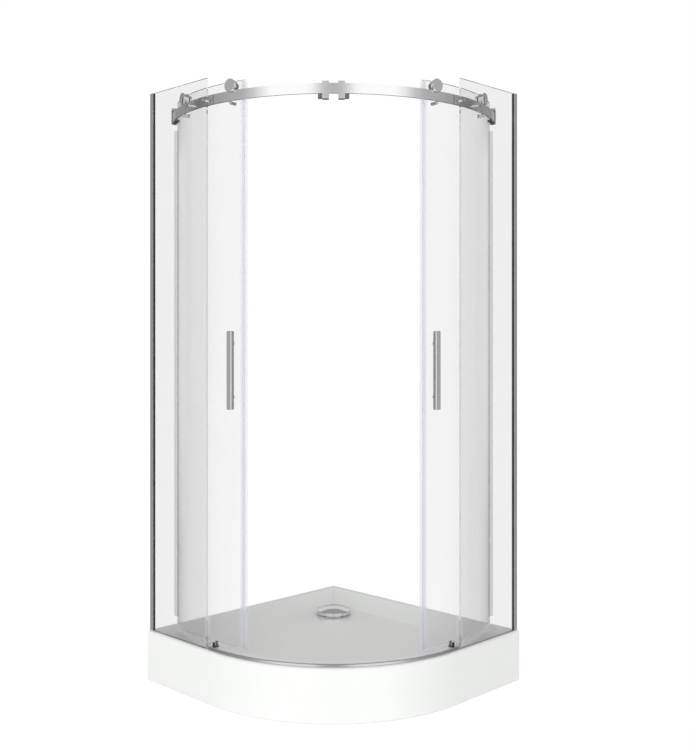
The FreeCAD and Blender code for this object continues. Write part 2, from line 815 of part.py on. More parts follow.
def across_wall(edge):
    box = edge.BoundBox
    return abs(box.XLength - bracket_depth) < 0.01 and box.YLength < 0.01 and box.ZLength < 0.01


bracket_form = rounded("left_bracket_form", bracket_block, "bracket_round", across_wall)
cradle = sector("left_bracket_cradle", "rail_inner - rail_seat_gap", "rail_outer + bracket_width",
                "rail_bottom - rail_seat_gap", "rail_height + 2 * rail_seat_gap",
                "-rail_end", "rail_end")
bracket_screws = []
for number, z in enumerate(["bracket_top - bracket_hole_end - bracket_hole_step",
                            "bracket_top - bracket_hole_end"]):
    place = along_v(bracket_u + " + bracket_hole_inset", "-bracket_depth", z)
    bracket_screws.append(rod("left_bracket_screw_%d" % number, "bracket_hole", "3 * bracket_depth", place))
bracket_base = cut("left_bracket_base", bracket_form, cradle, *bracket_screws)
rod_turn = "-door_trail - asin((stop_rod_radius + stop_rod_gap) / door_inner) / 1 deg"
stop_rod = rod("left_stop_rod", "stop_rod_radius", "stop_rod_inner + stop_rod_outer",
               around(rod_turn, "rod_low + stop_rod_radius"), outward("rail_outer - stop_rod_inner"))
rod_neck = block("left_rod_neck", bracket_u, "0", "rod_low",
                 "bracket_width", "rod_neck_reach", "rod_neck_height")
pair(fuse("left_end_bracket", bracket_base, rod_neck, stop_rod))

# End buffer: rubber that meets the bare rear edge of the open door
buffer_u = bracket_u + " + buffer_inset + buffer_radius"
buffer_length = "door_wall - bracket_depth - buffer_gap"
buffer_level = "rail_bottom + buffer_lift"
pair(rod("left_end_buffer", "buffer_radius", buffer_length, along_v(buffer_u, "bracket_depth", buffer_level)))

# Stop block: clamps over the rail beside its middle and carries a square rubber buffer
stop_low = "rail_bottom - stop_below"
stop_height = "stop_below + rail_height + stop_above"
clamp = sector("left_stop_form", "rail_inner - stop_inner", "rail_outer + stop_outer", stop_low, stop_height,
               "stop_start", "stop_turn")
clamp_slot = sector("left_stop_slot", "rail_inner - stop_gap", "rail_outer + stop_gap",
                    "rail_bottom - stop_gap", "rail_height + 2 * stop_gap",
                    "stop_start - stop_turn", "3 * stop_turn")
pair(cut("left_stop_block", clamp, clamp_slot))
pair(sector("left_stop_buffer", "rail_inner - stop_inner + stop_buffer_inset",
            "rail_outer + stop_outer - stop_buffer_inset",
            stop_low + " + stop_buffer_inset", "stop_below - 2 * stop_buffer_inset",
            "stop_tip", "buffer_turn"))

# Rail bolts and spacers: they hold the rail to the fixed panel
rail_band = sector("left_rail_band", "rail_inner", "rail_outer", "rail_bottom", "rail_height",
                   "-rail_end", "rail_end + 45")
inside_rail = rod("left_inside_rail", "rail_inner", "rail_height",
                  "placement(vector(arc_centre; arc_centre; rail_bottom); rotation(vector(0; 0; 1); 0))")
bolts = []
spacers = []
for number, v in enumerate(bolt_rows):
    start = along_u("arc_centre + rail_inner / 2", v, "bolt_level")
    reach = "glass_outside - arc_centre - rail_inner / 2"
    shank = rod("left_shank_%d" % number, "bolt_radius", reach, start)
    head = rod("left_head_%d" % number, "bolt_head", "bolt_head_thick",
               along_u("glass_outside", v, "bolt_level"))
    bolts.append(cut("left_bolt_%d" % number, fuse("left_bolt_form_%d" % number, shank, head), inside_rail))
    sleeve_reach = "glass_plane - arc_centre - rail_inner / 2"
    sleeve = rod("left_sleeve_%d" % number, "spacer_radius", sleeve_reach, start)
    sleeve_bore = rod("left_sleeve_bore_%d" % number, "bolt_radius + bolt_gap", sleeve_reach, start)
    spacers.append(cut("left_spacer_%d" % number, sleeve, sleeve_bore, rail_band, inside_rail))
pair(group("left_rail_bolts", *bolts))
pair(group("left_rail_spacers", *spacers))

# Door glass: one curved pane with holes for axles and pins
roller_angles = [("front", "front_roller_angle"), ("rear", "rear_roller")]
pane = sector("left_pane", "door_inner", "door_outer", "door_bottom", "door_top - door_bottom",
              "-door_trail", "door_trail + door_lead_angle")
glass_holes = []
drill_start = outward("door_inner - glass_thick")
for end, angle in roller_angles:
    glass_holes.append(rod("left_%s_axle_hole" % end, "axle_radius + bush_wall + 2 * bush_gap",
                           "3 * glass_thick", around(angle, "wheel_height"), drill_start))
    glass_holes.append(rod("left_%s_pin_hole" % end, "pin_shank + pin_hole_gap",
                           "3 * glass_thick", around(angle, "pin_height"), drill_start))
pair(cut("left_door_glass", pane, *glass_holes))


def glass_slot(name, low, high):
    """The room that a seal leaves for the door glass."""
    return sector(name, "door_inner - seal_gap", "door_outer + seal_gap", low, "%s - (%s)" % (high, low),
                  "-door_trail - slot_turn", "door_trail + door_lead_angle + 2 * slot_turn")


# Magnetic seal on the meeting edge and wiper seal on the rear edge
lead_form = sector("left_lead_form", "door_inner - seal_wall", "door_outer + seal_wall",
                   "door_bottom", "door_top - door_bottom",
                   "door_lead_angle - lead_seal_grip_angle", "lead_seal_grip_angle + lead_seal_tip_angle")
pair(cut("left_lead_seal", lead_form, glass_slot("left_lead_slot", "door_bottom", "door_top")))
trail_form = sector("left_trail_form", "door_inner - seal_wall", "door_outer + seal_wall",
                    "trail_seal_bottom", "edge_seal_top - trail_seal_bottom",
                    "-door_trail - trail_seal_tip_angle", "trail_seal_tip_angle + lead_seal_grip_angle")
trail_fin = sector("left_trail_fin", "door_outer", "door_outer + seal_wall + trail_seal_fin",
                   "trail_seal_bottom", "edge_seal_top - trail_seal_bottom",
                   "-door_trail - trail_seal_tip_angle", "trail_seal_tip_angle / 6")
trail_clip = cut("left_trail_clip", trail_form, glass_slot("left_trail_slot", "door_bottom", "door_top"))
pair(fuse("left_trail_seal", trail_clip, trail_fin))

# Bottom seal: a clip under the door glass with two drip fins
sweep_start = "-door_trail + trail_seal_tip_angle"
sweep_turn = "door_trail + door_lead_angle - trail_seal_tip_angle - lead_seal_grip_angle - sweep_inset_angle"
sweep_clip = sector("left_sweep_clip", "door_inner - sweep_wall", "door_outer + sweep_wall",
                    "door_bottom - sweep_wall", "sweep_wall + sweep_grip", sweep_start, sweep_turn)
sweep_slot = glass_slot("left_sweep_slot", "door_bottom", "door_top")
inner_drip = sector("left_inner_drip", "door_inner - sweep_wall", "door_inner", "sweep_low",
                    "sweep_drop", sweep_start, sweep_turn)
outer_drip = sector("left_outer_drip", "door_outer", "door_outer + sweep_wall", "sweep_low",
                    "sweep_drop", sweep_start, sweep_turn)
sweep_form = fuse("left_sweep_form", sweep_clip, inner_drip, outer_drip)
pair(cut("left_bottom_seal", sweep_form, sweep_slot))

# Roller wheels: turned with a groove that straddles the rail's top edge
half_width = "wheel_width / 2"
half_groove = "rail_thick / 2 + wheel_side_gap"
wheel_bore = "axle_radius + axle_gap"
for end, angle in roller_angles:
    pair(turned("left_%s_wheel" % end, [
        (wheel_bore, "-wheel_width / 2"),
        ("wheel_flange", "-wheel_width / 2"),
        ("wheel_flange", "-(%s) - wheel_bevel" % half_groove),
        ("wheel_groove", "-(%s)" % half_groove),
        ("wheel_groove", half_groove),
        ("wheel_flange", "%s + wheel_bevel" % half_groove),
        ("wheel_flange", half_width),
        (wheel_bore, half_width),
    ], around(angle, "wheel_height"), outward("rail_middle")))

# Axles with round caps, bushes in the glass and nuts inside
axles = []
bushes = []
roller_nuts = []
axle_inside = "door_inner - seat_gap - roller_nut_thick"
for end, angle in roller_angles:
    spot = around(angle, "wheel_height")
    axles.append(turned("left_%s_axle" % end, [
        ("0", axle_inside),
        ("axle_radius", axle_inside),
        ("axle_radius", "cap_inside"),
        ("cap_radius", "cap_inside"),
        ("cap_radius", "cap_inside + cap_thick - cap_round"),
        ("cap_radius - cap_round", "cap_inside + cap_thick"),
        ("0", "cap_inside + cap_thick"),
    ], spot, outward("0")))
    bush_bore = "axle_radius + bush_gap"
    bush_outer = "axle_radius + bush_wall"
    bush_face = "door_outer + seat_gap"
    bushes.append(turned("left_%s_bush" % end, [
        (bush_bore, "door_inner"),
        (bush_outer, "door_inner"),
        (bush_outer, bush_face),
        ("bush_flange", bush_face),
        ("bush_flange", bush_face + " + bush_flange_thick"),
        (bush_bore, bush_face + " + bush_flange_thick"),
    ], spot, outward("0")))
    roller_nuts.append(turned("left_%s_nut" % end, [
        (bush_bore, axle_inside),
        ("nut_radius - cap_round", axle_inside),
        ("nut_radius", axle_inside + " + cap_round"),
        ("nut_radius", "door_inner - seat_gap"),
        (bush_bore, "door_inner - seat_gap"),
    ], spot, outward("0")))
pair(group("left_roller_axles", *axles))
pair(group("left_roller_bushes", *bushes))
pair(group("left_roller_nuts", *roller_nuts))

# Guide pins: they pass under the rail, so that the door can't jump off
pins = []
pin_nuts = []
pin_inside = "door_inner - seat_gap - pin_nut_thick"
for end, angle in roller_angles:
    spot = around(angle, "pin_height")
    pins.append(turned("left_%s_pin" % end, [
        ("0", pin_inside),
        ("pin_shank", pin_inside),
        ("pin_shank", "door_outer + seat_gap"),
        ("pin_radius", "door_outer + seat_gap"),
        ("pin_radius", "door_outer + pin_reach - cap_round"),
        ("pin_radius - cap_round", "door_outer + pin_reach"),
        ("0", "door_outer + pin_reach"),
    ], spot, outward("0")))
    pin_nuts.append(turned("left_%s_pin_nut" % end, [
        ("pin_shank + bush_gap", pin_inside),
        ("pin_nut_radius", pin_inside),
        ("pin_nut_radius", "door_inner - seat_gap"),
        ("pin_shank + bush_gap", "door_inner - seat_gap"),
    ], spot, outward("0")))
pair(group("left_guide_pins", *pins))
pair(group("left_pin_nuts", *pin_nuts))

# Handle: an upright bar with rounded edges, on two short posts that are bonded to the glass
grip = new_body("left_grip", around("front_roller_angle", "handle_foot"))
grip_plan = new_sketch(grip, "left_grip_plan", "XY_Plane")
polygon(grip_plan, [
    ("handle_inside", "-handle_width / 2"),
    ("handle_outside", "-handle_width / 2"),
    ("handle_outside", "handle_width / 2"),
    ("handle_inside", "handle_width / 2"),
])
grip_pad = grip.newObject("PartDesign::Pad", "left_grip_pad")
grip_pad.Profile = grip_plan
bind(grip_pad, Length="handle_length")


def any_edge(edge):
    return edge.Length > 0


dress_edges(grip, "left_grip_round", "handle_round", any_edge)
handle_parts = [grip]
for end, z in [("low", "handle_height - handle_posts / 2"), ("high", "handle_height + handle_posts / 2")]:
    handle_parts.append(rod("left_%s_post" % end, "post_radius", "handle_gap + handle_depth / 2 - seat_gap",
                            around("front_roller_angle", z), outward("door_outer + seat_gap")))
pair(fuse("left_handle", *handle_parts))

# Bottom guide: a plate on the rim with a lip on each face of the door
guide_plate = block("left_guide_plate", "guide_toe", "guide_edge", "tray_height",
                    "guide_block_inside - guide_toe", "guide_width", "guide_base")
inner_lip = sector("left_guide_inner", "guide_inner - guide_lip", "guide_inner", "tray_height",
                   "guide_inner_height", "guide_start", "guide_turn")
outer_lip = sector("left_guide_outer", "guide_outer", "guide_outer + guide_lip", "tray_height",
                   "guide_outer_height", "guide_start", "guide_turn")
pair(fuse("left_bottom_guide", guide_plate, inner_lip, outer_lip))

# Guide block: it ends the threshold strip at the fixed panel and holds the guide's plate
guide_block_form = block("left_guide_form", "guide_block_inside", "guide_edge", "tray_height",
                         "guide_block_depth", "guide_width", "guide_block_height")
guide_block_top = rim_level + float(sheet.get("guide_block_height"))


def above_rim(edge):
    return edge.BoundBox.ZMax > guide_block_top - 0.01 and edge.BoundBox.ZLength < 0.01


pair(rounded("left_guide_block", guide_block_form, "guide_block_round", above_rim))

# Threshold strip: a low bar on the rim between the guide blocks
strip_arc = sector("strip_arc", "strip_inner", "strip_outer", "tray_height", "strip_height",
                   "0", "90", "tray_centre")
left_run = block("left_strip_run", "tray_centre + strip_inner", "strip_start", "tray_height",
                 "strip_width", "tray_centre - strip_start", "strip_height")
right_run = block("right_strip_run", "strip_start", "tray_centre + strip_inner", "tray_height",
                  "tray_centre - strip_start", "strip_width", "strip_height")
strip_bar = fuse("strip_bar", strip_arc, left_run, right_run)
strip_bar.Refine = True
strip_top = rim_level + float(sheet.get("strip_height"))
strip_end = 2 * float(sheet.get("strip_width"))


def along_strip_top(edge):
    return sits_at(edge, strip_top) and edge.Length > strip_end


keep(rounded("threshold_strip", strip_bar, "strip_round", along_strip_top))

doc.recompute()

# Every object has to be sound before anything is written
for thing in doc.Objects:
    if "Invalid" in thing.State or "Error" in thing.State:
        raise RuntimeError("%s failed: %s" % (thing.Name, thing.State))
os.makedirs("parts", exist_ok=True)
for thing in nodes:
    shape = thing.Shape
    if shape.isNull() or not shape.isValid() or shape.Volume <= 0:
        raise RuntimeError("%s has no sound solid" % thing.Name)
    thing.Label = thing.Name
    shape.exportStep("parts/%s.step" % thing.Label)
    print(thing.Label, len(shape.Solids), round(shape.Volume, 1))
print(len(nodes), "nodes")
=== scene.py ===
# %% [markdown]
# # A quarter-round shower enclosure
# A corner shower has a white tray, two fixed panes of glass, two curved doors that slide behind them, and
# bright metal that carries, guides and stops the doors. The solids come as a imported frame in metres, with
# every piece already in its place. So this lesson is about what solids alone can't show: the finishes, the
# light and the view.

# %% Load the frame
import json

import bmesh
import bpy
from mathutils import Matrix, Vector

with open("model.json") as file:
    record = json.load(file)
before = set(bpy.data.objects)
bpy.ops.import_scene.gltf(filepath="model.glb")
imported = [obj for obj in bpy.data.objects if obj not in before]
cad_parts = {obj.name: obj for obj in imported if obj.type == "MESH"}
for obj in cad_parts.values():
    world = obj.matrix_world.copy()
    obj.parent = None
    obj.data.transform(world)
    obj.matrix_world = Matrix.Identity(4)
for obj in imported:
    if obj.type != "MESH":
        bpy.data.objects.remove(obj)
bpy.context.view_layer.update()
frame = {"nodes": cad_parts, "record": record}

nodes = frame["nodes"]

# %% [markdown]
# ## Colours
# A hex code is a colour as a screen shows it, but shaders add up light and need linear values. Colours
# could be typed as linear numbers. Hex codes are easier to read and to compare with a picture, so one
# function turns them.

# %% Screen colours to linear light
def linear(code):
    """A screen colour such as 'F2F4F1' as linear red, green, blue and alpha."""
    channels = [int(code[i:i + 2], 16) / 255 for i in (0, 2, 4)]
    return (*[c / 12.92 if c <= 0.04045 else ((c + 0.055) / 1.055) ** 2.4 for c in channels], 1.0)


print("a mid grey as linear light:", [round(channel, 3) for channel in linear("808080")])

# %% [markdown]
# ## Shader nodes
# A finish is a small graph of nodes that ends in the Principled shader. Nodes can be placed and linked by
# hand in the shader editor. In a script one function is enough for every kind of node: a setting becomes an
# attribute, a plain input becomes a socket's value, and another node's output becomes a link. A Mix node
# has sockets of the same name for numbers, vectors and colours, so its two colours go by number, 6 and 7,
# and the mixed colour is its output 2.

# %% Add a node
COLOURS = {"data_type": "RGBA"}


def feed(node, **inputs):
    """Give a node its inputs; _0, _1 and so on stand for sockets by their number."""
    for name, value in inputs.items():
        socket = node.inputs[int(name[1:]) if name[1:].isdigit() else name.replace("_", " ")]
        if isinstance(value, bpy.types.NodeSocket):
            node.id_data.links.new(value, socket)
        else:
            socket.default_value = value
    return node


def add(tree, kind, settings=None, stops=(), **inputs):
    """Add a node with its settings and inputs; the stops are a colour ramp's places and grey tones."""
    node = tree.nodes.new("ShaderNode" + kind)
    for name, value in (settings or {}).items():
        setattr(node, name, value)
    while stops and len(node.color_ramp.elements) < len(stops):
        node.color_ramp.elements.new(0.5)
    for number, (place, tone) in enumerate(stops):
        element = node.color_ramp.elements[number]
        element.position = place
        element.color = (tone, tone, tone, 1.0)
    return feed(node, **inputs)


def new_finish(name):
    """An empty finish: the material, its node tree and its Principled shader."""
    material = bpy.data.materials.new(name)
    material.use_nodes = True
    return material, material.node_tree, material.node_tree.nodes["Principled BSDF"]


finishes = {}
print("node helpers ready, finishes so far:", len(finishes))

# %% [markdown]
# ## The tray: cast acrylic
# The tray is a sheet of white acrylic, softened by heat and drawn over a mould. That leaves a gloss with
# slow, broad waves and a faint orange peel. A plain white would hide the basin's curves. Two noises vary
# it instead: a broad one moves the colour a little, and a fine one moves the gloss and the relief.

# %% Acrylic
MM = 0.001
PATCHY = {"From_Min": 0.3, "From_Max": 0.7}  # most of a noise lies between these values
WAVE_MM, PEEL_MM = 180, 14


def per_metre(size_mm):
    """The scale of a noise whose patches are about this size."""
    return 1 / (size_mm * MM)


def drawn_acrylic(name):
    """Warm white with a soft, even gloss, as drawing over a smooth mould leaves it."""
    material, tree, shader = new_finish(name)
    place = add(tree, "TexCoord").outputs["Object"]
    cloud = add(tree, "TexNoise", Vector=place, Scale=per_metre(WAVE_MM), Detail=2.0).outputs["Fac"]
    peel = add(tree, "TexNoise", Vector=place, Scale=per_metre(PEEL_MM), Detail=2.0).outputs["Fac"]
    tone = add(tree, "Mix", COLOURS, Factor=cloud, _6=linear("F6F8F5"), _7=linear("F1F3F0"))
    gloss = add(tree, "MapRange", Value=peel, To_Min=0.16, To_Max=0.24, **PATCHY)
    relief = add(tree, "Bump", Strength=0.12, Distance=0.05 * MM, Height=peel)
    feed(shader, Base_Color=tone.outputs[2], Roughness=gloss.outputs[0], Normal=relief.outputs[0],
         IOR=1.49, Coat_Weight=0.25, Coat_Roughness=0.08)
    return material


finishes["white_acrylic"] = drawn_acrylic("white_acrylic")
print("acrylic: waves of", WAVE_MM, "mm, peel of", PEEL_MM, "mm")

# %% [markdown]
# ## The panes: toughened float glass
# Float glass is flat and polished by its making, and toughening leaves a very slight waviness. Each pane
# is a solid with two faces, so light could bend at both as in a block of glass. Seen through four faces
# that doubles every edge behind it, so the body bends light only a little, and a coat with the index of
# glass gives the faces their mirror. The iron in the glass shows only along the cut edges, where the eye
# looks through the whole width. Level edges get a dark grey-green: the green is the iron, the dark is
# painted shade.

# %% Glass
BODY_INDEX, FACE_INDEX = 1.1, 1.5
FILM_MM = 90


def float_glass(name):
    """Clear panes with a faint film of wiping, and level cut edges in iron green darkened by painted shade.
    """
    material, tree, shader = new_finish(name)
    place = add(tree, "TexCoord").outputs["Object"]
    film = add(tree, "TexNoise", Vector=place, Scale=per_metre(FILM_MM), Detail=3.0).outputs["Fac"]
    pane = add(tree, "Mix", COLOURS, Factor=film, _6=linear("FBFBFB"), _7=linear("F8F8F8"))
    facing = add(tree, "SeparateXYZ", Vector=add(tree, "NewGeometry").outputs["Normal"])
    # painted shade: the level (top and bottom) cut edges turn a dark grey-green, partly the iron's tint
    edge_tint_and_shade = add(tree, "Math", {"operation": "ABSOLUTE"}, _0=facing.outputs["Z"])
    tone = add(tree, "Mix", COLOURS, Factor=edge_tint_and_shade.outputs[0], _6=pane.outputs[2], _7=linear("5F6B67"))
    gloss = add(tree, "MapRange", Value=film, To_Min=0.0, To_Max=0.012, **PATCHY)
    feed(shader, Base_Color=tone.outputs[2], Roughness=gloss.outputs[0], IOR=BODY_INDEX,
         Transmission_Weight=1.0, Coat_Weight=1.0, Coat_IOR=FACE_INDEX)
    return material


finishes["clear_glass"] = float_glass("clear_glass")
print("glass: body index", BODY_INDEX, "under a coat of", FACE_INDEX)

# %% [markdown]
# ## Bright metal
# Rail, rollers, handles and stops are plated with bright chrome over a polished base. The end brackets and
# the threshold strip are plated over a blasted base, so their chrome is satin and darker. The wall profiles
# are drawn aluminium, brightened and anodised, so fine lines run along them. The frame under the tray is
# zinc-plated steel with a cloudy spangle. All are metals, so colour tints the mirror and roughness blurs
# it. Each could have its own graph, but only the size and the direction of the marks differ, so one
# function makes the four. Wiping marks, blasting and draw lines are finer than a pixel, so they are drawn
# 9, 6 and 2.5 mm wide.

# %% Metals
EVEN = (1.0, 1.0, 1.0)
UPRIGHT = (1.0, 1.0, 0.02)  # stretches a pattern into upright lines


def plated_metal(name, light, dark, gloss_range, grain_mm, run, depth_mm):
    material, tree, shader = new_finish(name)
    place = add(tree, "Mapping", Vector=add(tree, "TexCoord").outputs["Object"], Scale=run)
    marks = add(tree, "TexNoise", Vector=place.outputs[0], Scale=per_metre(grain_mm), Detail=4.0)
    grain = marks.outputs["Fac"]
    tone = add(tree, "Mix", COLOURS, Factor=grain, _6=linear(light), _7=linear(dark))
    gloss = add(tree, "MapRange", Value=grain, To_Min=gloss_range[0], To_Max=gloss_range[1], **PATCHY)
    relief = add(tree, "Bump", Strength=0.08, Distance=depth_mm * MM, Height=grain)
    feed(shader, Base_Color=tone.outputs[2], Roughness=gloss.outputs[0], Normal=relief.outputs[0],
         Metallic=1.0)
    return material


for name, light, dark, gloss_range, grain_mm, run, depth_mm in [
    # a clear mirror, hardly marked
    ("polished_chrome", "EFEFF0", "EAEAEC", (0.05, 0.10), 9, EVEN, 0.02),
    # a greyer mirror with soft edges
    ("satin_chrome", "C8C8CA", "BEBEC1", (0.12, 0.20), 6, EVEN, 0.02),
    # a pale sheen that runs up and down
    ("bright_aluminium", "F4F4F6", "EAEBEE", (0.30, 0.42), 2.5, UPRIGHT, 0.03),
    # a dull, patchy grey
    ("zinc_steel", "B9BCC0", "9FA3A8", (0.30, 0.46), 12, EVEN, 0.05),
]:
    finishes[name] = plated_metal(name, light, dark, gloss_range, grain_mm, run, depth_mm)
    print("metal:", name, "grain", grain_mm, "mm")

# %% [markdown]
# ## Moulded plastic and rubber
# Bushes, guides and the trap are injection moulded. Buffers, gaskets and the waste's washer are moulded
# rubber, black except for the grey buffers on the stops. A mould is lightly spark-eroded, which leaves a
# fine, dull grain. It could be left as a plain roughness, but then a small piece looks like paint. The grain
# is finer than a pixel here, so it is drawn 3 to 4 mm wide.

# %% Plastics and rubber
def moulded(name, light, dark, gloss_range, grain_mm, depth_mm):
    material, tree, shader = new_finish(name)
    place = add(tree, "TexCoord").outputs["Object"]
    grain = add(tree, "TexNoise", Vector=place, Scale=per_metre(grain_mm), Detail=4.0).outputs["Fac"]
    tone = add(tree, "Mix", COLOURS, Factor=grain, _6=linear(light), _7=linear(dark))
    gloss = add(tree, "MapRange", Value=grain, To_Min=gloss_range[0], To_Max=gloss_range[1], **PATCHY)
    relief = add(tree, "Bump", Strength=0.25, Distance=depth_mm * MM, Height=grain)
    feed(shader, Base_Color=tone.outputs[2], Roughness=gloss.outputs[0], Normal=relief.outputs[0], IOR=1.46)
    return material


for name, light, dark, gloss_range, grain_mm, depth_mm in [
    # dull and soft, with no clear highlight
    ("black_rubber", "1B1B1C", "242425", (0.55, 0.72), 3, 0.08),
    ("grey_rubber", "626264", "56565A", (0.50, 0.66), 3, 0.08),
    # waxy, with a broad highlight
    ("white_nylon", "E6E6E3", "DCDCD8", (0.40, 0.52), 3, 0.04),
    ("grey_nylon", "3A3B3C", "303132", (0.38, 0.50), 3, 0.04),
    # satin, like most pipe fittings
    ("grey_polypropylene", "84878A", "777A7D", (0.42, 0.55), 4, 0.05),
]:
    finishes[name] = moulded(name, light, dark, gloss_range, grain_mm, depth_mm)
    print("moulded:", name, "grain", grain_mm, "mm")

# %% [markdown]
# ## Seals: soft vinyl
# The seals are extruded from soft clear vinyl. Thin walls let most light straight through and add a pale
# veil. It could be a second glass, but several layers of bent light turn into black lines, so the veil is
# a pale surface with a low alpha. The magnetic strips are thicker and milky, faintly violet. The wipers on
# the doors' trailing edges are denser and look smoky. The clips on the fixed panes are thin and almost
# vanish.

# %% Vinyl
STREAK_MM = 60


def extruded_vinyl(name, light, dark, veil):
    """A soft gloss over long, faint streaks along the seal, as the die draws them."""
    material, tree, shader = new_finish(name)
    place = add(tree, "Mapping", Vector=add(tree, "TexCoord").outputs["Object"], Scale=UPRIGHT)
    marks = add(tree, "TexNoise", Vector=place.outputs[0], Scale=per_metre(STREAK_MM), Detail=2.0)
    cloud = marks.outputs["Fac"]
    tone = add(tree, "Mix", COLOURS, Factor=cloud, _6=linear(light), _7=linear(dark))
    gloss = add(tree, "MapRange", Value=cloud, To_Min=0.22, To_Max=0.34, **PATCHY)
    feed(shader, Base_Color=tone.outputs[2], Roughness=gloss.outputs[0], IOR=1.5, Alpha=veil)
    return material


for name, light, dark, veil in [
    ("clear_vinyl", "EDEDF4", "E6E6EE", 0.06),
    ("milky_vinyl", "DCDCE8", "D2D2E0", 0.22),
    ("smoky_vinyl", "CACCD4", "C0C2CA", 0.26),
]:
    finishes[name] = extruded_vinyl(name, light, dark, veil)
    print("vinyl:", name, "veil", veil)

# %% [markdown]
# ## Dressing the solids
# The record names a material slot for every node. Each node could be dressed by hand, but the slot has the
# name of the finish, so most finishes find their nodes by that name. A few pieces look different from the
# rest of their slot, such as the grey stop buffers among the black rubber. These are picked by their own
# names, left and right alike.

# %% Give every node its finish
OWN_FINISH = {
    "lead_seal": "milky_vinyl",
    "trail_seal": "smoky_vinyl",
    "stop_buffer": "grey_rubber",
    "end_bracket": "satin_chrome",
    "threshold_strip": "satin_chrome",
}
slot_of = {part["node"]: part["material_slot"] for part in frame["record"]["subparts"]}
for name, thing in nodes.items():
    finish = OWN_FINISH.get(name.removeprefix("left_").removeprefix("right_"), slot_of[name])
    for slot in thing.material_slots:
        slot.material = finishes[finish]
print("dressed:", len(nodes), "nodes with", len(finishes), "finishes")

# %% [markdown]
# ## The studio around it
# A product picture of glass and chrome is made in a white tent. To the eye and through the glass the
# background is plain white. Chrome needs something to mirror, or it vanishes: in a studio, grey flags and
# white cards stand around the object. Panels could be modelled, but they would stand in the way of other
# views, so the world itself carries them as soft bands, by direction. A direction is measured by its height
# and by its turn from straight behind, 0, to the front, 1. In the front half that turn is the compass
# heading, so the bands stand upright as cards do. In the back half it is the plain angle, so the bands lie
# as rings around the point straight behind.

# %% World: directions
TO_FRONT = (0.7071, -0.7071, 0.0)
LEVEL = (1.0, 1.0, 0.0)
BOTH_WAYS = {"From_Min": -1.0, "From_Max": 1.0}

world = bpy.data.worlds.new("studio")
bpy.context.scene.world = world
world.use_nodes = True
tree = world.node_tree
tree.nodes.clear()
direction = add(tree, "TexCoord").outputs["Generated"]
height = add(tree, "SeparateXYZ", Vector=direction).outputs["Z"]
climb = add(tree, "MapRange", Value=height, **BOTH_WAYS).outputs[0]
ground = add(tree, "VectorMath", {"operation": "MULTIPLY"}, _0=direction, _1=LEVEL).outputs[0]
compass = add(tree, "VectorMath", {"operation": "NORMALIZE"}, _0=ground).outputs[0]
by_angle = add(tree, "VectorMath", {"operation": "DOT_PRODUCT"}, _0=direction, _1=TO_FRONT)
by_compass = add(tree, "VectorMath", {"operation": "DOT_PRODUCT"}, _0=compass, _1=TO_FRONT)
frontal = add(tree, "Math", {"operation": "MAXIMUM"}, _0=by_angle.outputs["Value"],
              _1=by_compass.outputs["Value"])
swing = add(tree, "MapRange", Value=frontal.outputs[0], **BOTH_WAYS).outputs[0]
heading = add(tree, "MapRange", Value=by_compass.outputs["Value"], **BOTH_WAYS).outputs[0]
print("world: bands by height and by the turn away from the front")

# %% [markdown]
# ## Sky, flags and cards
# Matt surfaces gather light from all sides, so for them the tent is a soft sky, bright at the horizon and
# darker overhead. Chrome shows each band as a stripe: a light wall behind, grey flags at the sides, white
# cards in front, and a darker gap between the cards where the camera stands, which gives the rail its grey
# middle. Lamps with shades could do the same, but a colour ramp sets each band by two numbers, its place
# and its tone. A second ramp dims the bands a little at eye level.

# %% World: sky, flags and cards
sky = add(tree, "ValToRGB", Fac=climb, stops=[(0.0, 0.70), (0.5, 1.0), (0.60, 0.72), (1.0, 0.08)])
flags = add(tree, "ValToRGB", Fac=swing, stops=[
    (0.0, 0.34), (0.03, 0.66), (0.12, 0.74), (0.18, 0.50), (0.24, 0.20), (0.36, 0.16), (0.485, 0.36),
    (0.645, 0.46), (0.717, 0.48), (0.78, 0.66), (0.831, 0.96), (0.873, 1.15), (0.97, 1.15), (0.985, 1.06),
    (0.9916, 0.86), (0.995, 0.70), (1.0, 0.55),
])
dimmer = add(tree, "ValToRGB", Fac=climb, stops=[(0.38, 1.12), (0.46, 0.92), (0.54, 0.92), (0.60, 1.0)])
ring = add(tree, "Mix", {**COLOURS, "blend_type": "MULTIPLY"}, Factor=1.0, _6=flags.outputs["Color"],
           _7=dimmer.outputs["Color"])
print("flags and cards:", len(flags.color_ramp.elements), "stops")

# %% [markdown]
# ## Ceiling, far floor and wings
# Three more greys shape the chrome. The waste cover looks up, and a grey ceiling gives its middle a tone.
# The rail's underside looks back and down, and a dark far floor draws the rail's lower edge. The rail's
# ends look back, aside and a little up, because the eye is lower than the rail, and grey wings stand there.
# The flags could be darker instead, but they run over all heights, and the doors would turn grey with them.

# %% World: ceiling, far floor and wings
CEILING = (0.34, 0.34, 0.34, 1.0)
WINGS = (0.33, 0.33, 0.33, 1.0)
CEILING_STARTS = {"From_Min": 0.60, "From_Max": 0.70}
FLOOR_STARTS = {"From_Min": -0.05, "From_Max": -0.20}
BACK_STARTS = {"From_Min": 0.30, "From_Max": 0.22}
WINGS_START = {"From_Min": 0.17, "From_Max": 0.205}

